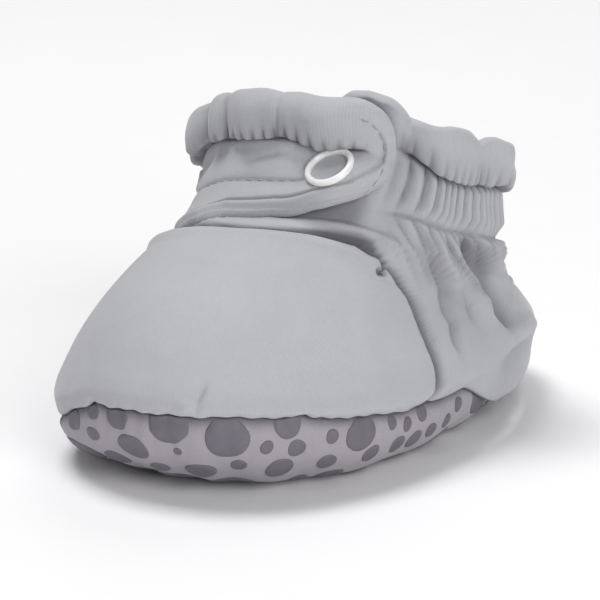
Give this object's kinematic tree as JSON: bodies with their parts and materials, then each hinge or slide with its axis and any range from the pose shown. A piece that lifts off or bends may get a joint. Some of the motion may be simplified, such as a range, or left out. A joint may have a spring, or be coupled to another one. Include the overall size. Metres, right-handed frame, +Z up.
{
  "type": "baby bootie slipper",
  "caption": "Soft grey jersey baby bootie slipper, left shoe, with a ruffled elastic ankle, a snapped strap over the instep and a padded dotted sole.",
  "frame": {"origin": "on the floor under the middle of the sole", "axes": "+Z up, -Y towards the toe, +X towards the wearer's outer side"},
  "size_m": [0.0706, 0.1141, 0.0672],
  "materials": {
    "grey_jersey": "soft brushed cotton jersey, matt",
    "sole_cloth": "padded cloth with darker grip dots, matt",
    "lining_jersey": "smooth cotton jersey, matt",
    "white_enamel": "glossy white enamel"
  },
  "bodies": {
    "root": {"upper": "grey_jersey", "sole": "sole_cloth", "insole": "lining_jersey", "strap": "grey_jersey", "snap_cap_ring": "white_enamel", "snap_socket": "white_enamel", "snap_post_ring": "white_enamel"}
  },
  "joints": []
}
